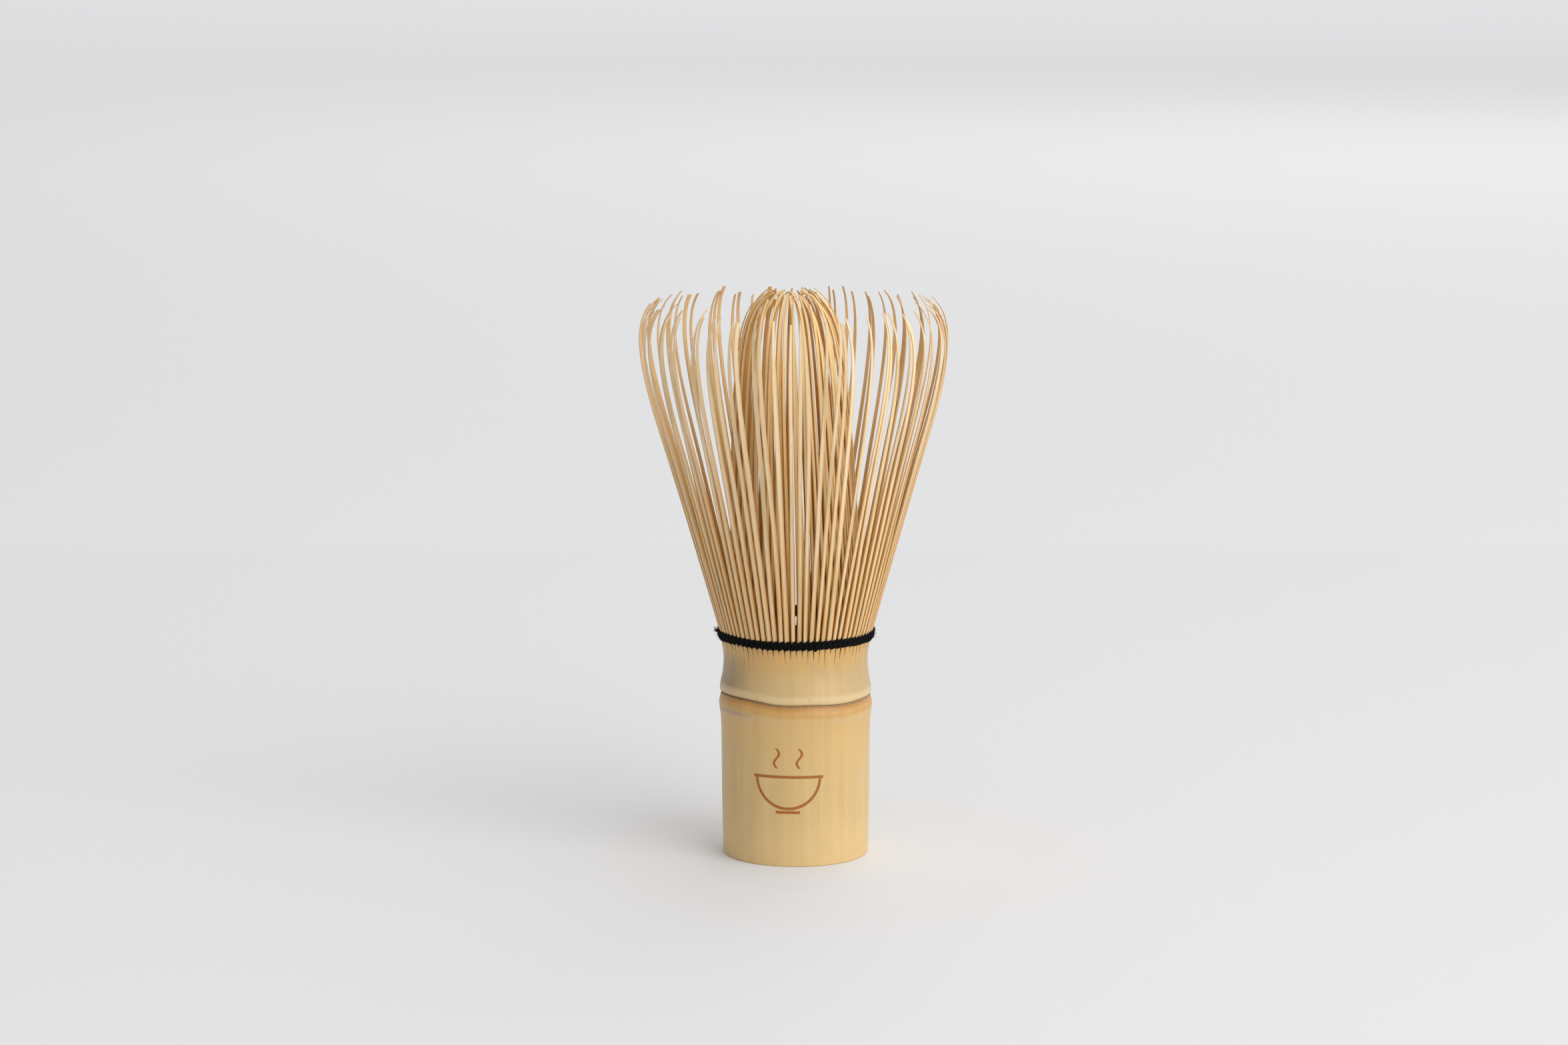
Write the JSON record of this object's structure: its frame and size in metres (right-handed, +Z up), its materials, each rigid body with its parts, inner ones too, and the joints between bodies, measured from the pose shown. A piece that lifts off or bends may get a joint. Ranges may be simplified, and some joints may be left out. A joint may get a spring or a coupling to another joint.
{
  "type": "bamboo tea whisk",
  "caption": "Bamboo tea whisk: a hollow culm handle with a node ridge, a splayed ring of outer tines and a gathered ring of inner tines, held apart by a woven black thread.",
  "frame": {"origin": "centre of the foot, on the culm's axis, at the surface the whisk stands on", "axes": "+Z up along the culm towards the tips; -Y towards the front, the side that carries the mark"},
  "size_m": [0.0602, 0.0602, 0.1099],
  "materials": {
    "bamboo_skin": "pale straw bamboo skin, soft sheen",
    "bamboo_flesh": "cut bamboo, matt",
    "bamboo_outer_tines": "shaved bamboo, satin",
    "bamboo_inner_tines": "shaved bamboo, matt",
    "cotton_thread": "black cotton, matt"
  },
  "bodies": {
    "handle": {"handle_culm": "bamboo_skin", "node_septum": "bamboo_flesh", "neck_collar": "bamboo_skin", "outer_tine_roots": "bamboo_outer_tines", "inner_tine_roots": "bamboo_inner_tines", "thread_lower_round": "cotton_thread", "thread_middle_round": "cotton_thread", "thread_upper_round": "cotton_thread", "thread_knot": "cotton_thread"},
    "outer_tines_01": {"outer_tines_01": "bamboo_outer_tines"},
    "outer_tines_02": {"outer_tines_02": "bamboo_outer_tines"},
    "outer_tines_03": {"outer_tines_03": "bamboo_outer_tines"},
    "outer_tines_04": {"outer_tines_04": "bamboo_outer_tines"},
    "outer_tines_05": {"outer_tines_05": "bamboo_outer_tines"},
    "outer_tines_06": {"outer_tines_06": "bamboo_outer_tines"},
    "outer_tines_07": {"outer_tines_07": "bamboo_outer_tines"},
    "outer_tines_08": {"outer_tines_08": "bamboo_outer_tines"},
    "outer_tines_09": {"outer_tines_09": "bamboo_outer_tines"},
    "outer_tines_10": {"outer_tines_10": "bamboo_outer_tines"},
    "outer_tines_11": {"outer_tines_11": "bamboo_outer_tines"},
    "outer_tines_12": {"outer_tines_12": "bamboo_outer_tines"},
    "outer_tines_13": {"outer_tines_13": "bamboo_outer_tines"},
    "outer_tines_14": {"outer_tines_14": "bamboo_outer_tines"},
    "outer_tines_15": {"outer_tines_15": "bamboo_outer_tines"},
    "outer_tines_16": {"outer_tines_16": "bamboo_outer_tines"},
    "outer_tines_17": {"outer_tines_17": "bamboo_outer_tines"},
    "outer_tines_18": {"outer_tines_18": "bamboo_outer_tines"},
    "outer_tines_19": {"outer_tines_19": "bamboo_outer_tines"},
    "outer_tines_20": {"outer_tines_20": "bamboo_outer_tines"},
    "inner_tines_01": {"inner_tines_01": "bamboo_inner_tines"},
    "inner_tines_02": {"inner_tines_02": "bamboo_inner_tines"},
    "inner_tines_03": {"inner_tines_03": "bamboo_inner_tines"},
    "inner_tines_04": {"inner_tines_04": "bamboo_inner_tines"},
    "inner_tines_05": {"inner_tines_05": "bamboo_inner_tines"},
    "inner_tines_06": {"inner_tines_06": "bamboo_inner_tines"},
    "inner_tines_07": {"inner_tines_07": "bamboo_inner_tines"},
    "inner_tines_08": {"inner_tines_08": "bamboo_inner_tines"},
    "inner_tines_09": {"inner_tines_09": "bamboo_inner_tines"},
    "inner_tines_10": {"inner_tines_10": "bamboo_inner_tines"},
    "inner_tines_11": {"inner_tines_11": "bamboo_inner_tines"},
    "inner_tines_12": {"inner_tines_12": "bamboo_inner_tines"},
    "inner_tines_13": {"inner_tines_13": "bamboo_inner_tines"},
    "inner_tines_14": {"inner_tines_14": "bamboo_inner_tines"},
    "inner_tines_15": {"inner_tines_15": "bamboo_inner_tines"},
    "inner_tines_16": {"inner_tines_16": "bamboo_inner_tines"},
    "inner_tines_17": {"inner_tines_17": "bamboo_inner_tines"},
    "inner_tines_18": {"inner_tines_18": "bamboo_inner_tines"},
    "inner_tines_19": {"inner_tines_19": "bamboo_inner_tines"},
    "inner_tines_20": {"inner_tines_20": "bamboo_inner_tines"}
  },
  "joints": [
    {"name": "outer_tines_01_flex", "type": "hinge", "parent": "handle", "child": "outer_tines_01", "pos_m": [0.01432, 0, 0.044], "axis": [0, 1, 0], "range_deg": [-3, 8], "stiffness_Nm_per_rad": 0.008},
    {"name": "outer_tines_02_flex", "type": "hinge", "parent": "handle", "child": "outer_tines_02", "pos_m": [0.01362, 0.00443, 0.044], "axis": [-0.309, 0.9511, 0], "range_deg": [-3, 8], "stiffness_Nm_per_rad": 0.008},
    {"name": "outer_tines_03_flex", "type": "hinge", "parent": "handle", "child": "outer_tines_03", "pos_m": [0.01159, 0.00842, 0.044], "axis": [-0.5878, 0.809, 0], "range_deg": [-3, 8], "stiffness_Nm_per_rad": 0.008},
    {"name": "outer_tines_04_flex", "type": "hinge", "parent": "handle", "child": "outer_tines_04", "pos_m": [0.00842, 0.01159, 0.044], "axis": [-0.809, 0.5878, 0], "range_deg": [-3, 8], "stiffness_Nm_per_rad": 0.008},
    {"name": "outer_tines_05_flex", "type": "hinge", "parent": "handle", "child": "outer_tines_05", "pos_m": [0.00443, 0.01362, 0.044], "axis": [-0.9511, 0.309, 0], "range_deg": [-3, 8], "stiffness_Nm_per_rad": 0.008},
    {"name": "outer_tines_06_flex", "type": "hinge", "parent": "handle", "child": "outer_tines_06", "pos_m": [0, 0.01432, 0.044], "axis": [-1, 0, 0], "range_deg": [-3, 8], "stiffness_Nm_per_rad": 0.008},
    {"name": "outer_tines_07_flex", "type": "hinge", "parent": "handle", "child": "outer_tines_07", "pos_m": [-0.00443, 0.01362, 0.044], "axis": [-0.9511, -0.309, 0], "range_deg": [-3, 8], "stiffness_Nm_per_rad": 0.008},
    {"name": "outer_tines_08_flex", "type": "hinge", "parent": "handle", "child": "outer_tines_08", "pos_m": [-0.00842, 0.01159, 0.044], "axis": [-0.809, -0.5878, 0], "range_deg": [-3, 8], "stiffness_Nm_per_rad": 0.008},
    {"name": "outer_tines_09_flex", "type": "hinge", "parent": "handle", "child": "outer_tines_09", "pos_m": [-0.01159, 0.00842, 0.044], "axis": [-0.5878, -0.809, 0], "range_deg": [-3, 8], "stiffness_Nm_per_rad": 0.008},
    {"name": "outer_tines_10_flex", "type": "hinge", "parent": "handle", "child": "outer_tines_10", "pos_m": [-0.01362, 0.00443, 0.044], "axis": [-0.309, -0.9511, 0], "range_deg": [-3, 8], "stiffness_Nm_per_rad": 0.008},
    {"name": "outer_tines_11_flex", "type": "hinge", "parent": "handle", "child": "outer_tines_11", "pos_m": [-0.01432, 0, 0.044], "axis": [0, -1, 0], "range_deg": [-3, 8], "stiffness_Nm_per_rad": 0.008},
    {"name": "outer_tines_12_flex", "type": "hinge", "parent": "handle", "child": "outer_tines_12", "pos_m": [-0.01362, -0.00443, 0.044], "axis": [0.309, -0.9511, 0], "range_deg": [-3, 8], "stiffness_Nm_per_rad": 0.008},
    {"name": "outer_tines_13_flex", "type": "hinge", "parent": "handle", "child": "outer_tines_13", "pos_m": [-0.01159, -0.00842, 0.044], "axis": [0.5878, -0.809, 0], "range_deg": [-3, 8], "stiffness_Nm_per_rad": 0.008},
    {"name": "outer_tines_14_flex", "type": "hinge", "parent": "handle", "child": "outer_tines_14", "pos_m": [-0.00842, -0.01159, 0.044], "axis": [0.809, -0.5878, 0], "range_deg": [-3, 8], "stiffness_Nm_per_rad": 0.008},
    {"name": "outer_tines_15_flex", "type": "hinge", "parent": "handle", "child": "outer_tines_15", "pos_m": [-0.00443, -0.01362, 0.044], "axis": [0.9511, -0.309, 0], "range_deg": [-3, 8], "stiffness_Nm_per_rad": 0.008},
    {"name": "outer_tines_16_flex", "type": "hinge", "parent": "handle", "child": "outer_tines_16", "pos_m": [0, -0.01432, 0.044], "axis": [1, 0, 0], "range_deg": [-3, 8], "stiffness_Nm_per_rad": 0.008},
    {"name": "outer_tines_17_flex", "type": "hinge", "parent": "handle", "child": "outer_tines_17", "pos_m": [0.00443, -0.01362, 0.044], "axis": [0.9511, 0.309, 0], "range_deg": [-3, 8], "stiffness_Nm_per_rad": 0.008},
    {"name": "outer_tines_18_flex", "type": "hinge", "parent": "handle", "child": "outer_tines_18", "pos_m": [0.00842, -0.01159, 0.044], "axis": [0.809, 0.5878, 0], "range_deg": [-3, 8], "stiffness_Nm_per_rad": 0.008},
    {"name": "outer_tines_19_flex", "type": "hinge", "parent": "handle", "child": "outer_tines_19", "pos_m": [0.01159, -0.00842, 0.044], "axis": [0.5878, 0.809, 0], "range_deg": [-3, 8], "stiffness_Nm_per_rad": 0.008},
    {"name": "outer_tines_20_flex", "type": "hinge", "parent": "handle", "child": "outer_tines_20", "pos_m": [0.01362, -0.00443, 0.044], "axis": [0.309, 0.9511, 0], "range_deg": [-3, 8], "stiffness_Nm_per_rad": 0.008},
    {"name": "inner_tines_01_flex", "type": "hinge", "parent": "handle", "child": "inner_tines_01", "pos_m": [0.0126, 0, 0.044], "axis": [0, 1, 0], "range_deg": [0, 6], "stiffness_Nm_per_rad": 0.004},
    {"name": "inner_tines_02_flex", "type": "hinge", "parent": "handle", "child": "inner_tines_02", "pos_m": [0.01198, 0.00389, 0.044], "axis": [-0.309, 0.9511, 0], "range_deg": [0, 6], "stiffness_Nm_per_rad": 0.004},
    {"name": "inner_tines_03_flex", "type": "hinge", "parent": "handle", "child": "inner_tines_03", "pos_m": [0.01019, 0.00741, 0.044], "axis": [-0.5878, 0.809, 0], "range_deg": [0, 6], "stiffness_Nm_per_rad": 0.004},
    {"name": "inner_tines_04_flex", "type": "hinge", "parent": "handle", "child": "inner_tines_04", "pos_m": [0.00741, 0.01019, 0.044], "axis": [-0.809, 0.5878, 0], "range_deg": [0, 6], "stiffness_Nm_per_rad": 0.004},
    {"name": "inner_tines_05_flex", "type": "hinge", "parent": "handle", "child": "inner_tines_05", "pos_m": [0.00389, 0.01198, 0.044], "axis": [-0.9511, 0.309, 0], "range_deg": [0, 6], "stiffness_Nm_per_rad": 0.004},
    {"name": "inner_tines_06_flex", "type": "hinge", "parent": "handle", "child": "inner_tines_06", "pos_m": [0, 0.0126, 0.044], "axis": [-1, 0, 0], "range_deg": [0, 6], "stiffness_Nm_per_rad": 0.004},
    {"name": "inner_tines_07_flex", "type": "hinge", "parent": "handle", "child": "inner_tines_07", "pos_m": [-0.00389, 0.01198, 0.044], "axis": [-0.9511, -0.309, 0], "range_deg": [0, 6], "stiffness_Nm_per_rad": 0.004},
    {"name": "inner_tines_08_flex", "type": "hinge", "parent": "handle", "child": "inner_tines_08", "pos_m": [-0.00741, 0.01019, 0.044], "axis": [-0.809, -0.5878, 0], "range_deg": [0, 6], "stiffness_Nm_per_rad": 0.004},
    {"name": "inner_tines_09_flex", "type": "hinge", "parent": "handle", "child": "inner_tines_09", "pos_m": [-0.01019, 0.00741, 0.044], "axis": [-0.5878, -0.809, 0], "range_deg": [0, 6], "stiffness_Nm_per_rad": 0.004},
    {"name": "inner_tines_10_flex", "type": "hinge", "parent": "handle", "child": "inner_tines_10", "pos_m": [-0.01198, 0.00389, 0.044], "axis": [-0.309, -0.9511, 0], "range_deg": [0, 6], "stiffness_Nm_per_rad": 0.004},
    {"name": "inner_tines_11_flex", "type": "hinge", "parent": "handle", "child": "inner_tines_11", "pos_m": [-0.0126, 0, 0.044], "axis": [0, -1, 0], "range_deg": [0, 6], "stiffness_Nm_per_rad": 0.004},
    {"name": "inner_tines_12_flex", "type": "hinge", "parent": "handle", "child": "inner_tines_12", "pos_m": [-0.01198, -0.00389, 0.044], "axis": [0.309, -0.9511, 0], "range_deg": [0, 6], "stiffness_Nm_per_rad": 0.004},
    {"name": "inner_tines_13_flex", "type": "hinge", "parent": "handle", "child": "inner_tines_13", "pos_m": [-0.01019, -0.00741, 0.044], "axis": [0.5878, -0.809, 0], "range_deg": [0, 6], "stiffness_Nm_per_rad": 0.004},
    {"name": "inner_tines_14_flex", "type": "hinge", "parent": "handle", "child": "inner_tines_14", "pos_m": [-0.00741, -0.01019, 0.044], "axis": [0.809, -0.5878, 0], "range_deg": [0, 6], "stiffness_Nm_per_rad": 0.004},
    {"name": "inner_tines_15_flex", "type": "hinge", "parent": "handle", "child": "inner_tines_15", "pos_m": [-0.00389, -0.01198, 0.044], "axis": [0.9511, -0.309, 0], "range_deg": [0, 6], "stiffness_Nm_per_rad": 0.004},
    {"name": "inner_tines_16_flex", "type": "hinge", "parent": "handle", "child": "inner_tines_16", "pos_m": [0, -0.0126, 0.044], "axis": [1, 0, 0], "range_deg": [0, 6], "stiffness_Nm_per_rad": 0.004},
    {"name": "inner_tines_17_flex", "type": "hinge", "parent": "handle", "child": "inner_tines_17", "pos_m": [0.00389, -0.01198, 0.044], "axis": [0.9511, 0.309, 0], "range_deg": [0, 6], "stiffness_Nm_per_rad": 0.004},
    {"name": "inner_tines_18_flex", "type": "hinge", "parent": "handle", "child": "inner_tines_18", "pos_m": [0.00741, -0.01019, 0.044], "axis": [0.809, 0.5878, 0], "range_deg": [0, 6], "stiffness_Nm_per_rad": 0.004},
    {"name": "inner_tines_19_flex", "type": "hinge", "parent": "handle", "child": "inner_tines_19", "pos_m": [0.01019, -0.00741, 0.044], "axis": [0.5878, 0.809, 0], "range_deg": [0, 6], "stiffness_Nm_per_rad": 0.004},
    {"name": "inner_tines_20_flex", "type": "hinge", "parent": "handle", "child": "inner_tines_20", "pos_m": [0.01198, -0.00389, 0.044], "axis": [0.309, 0.9511, 0], "range_deg": [0, 6], "stiffness_Nm_per_rad": 0.004}
  ]
}
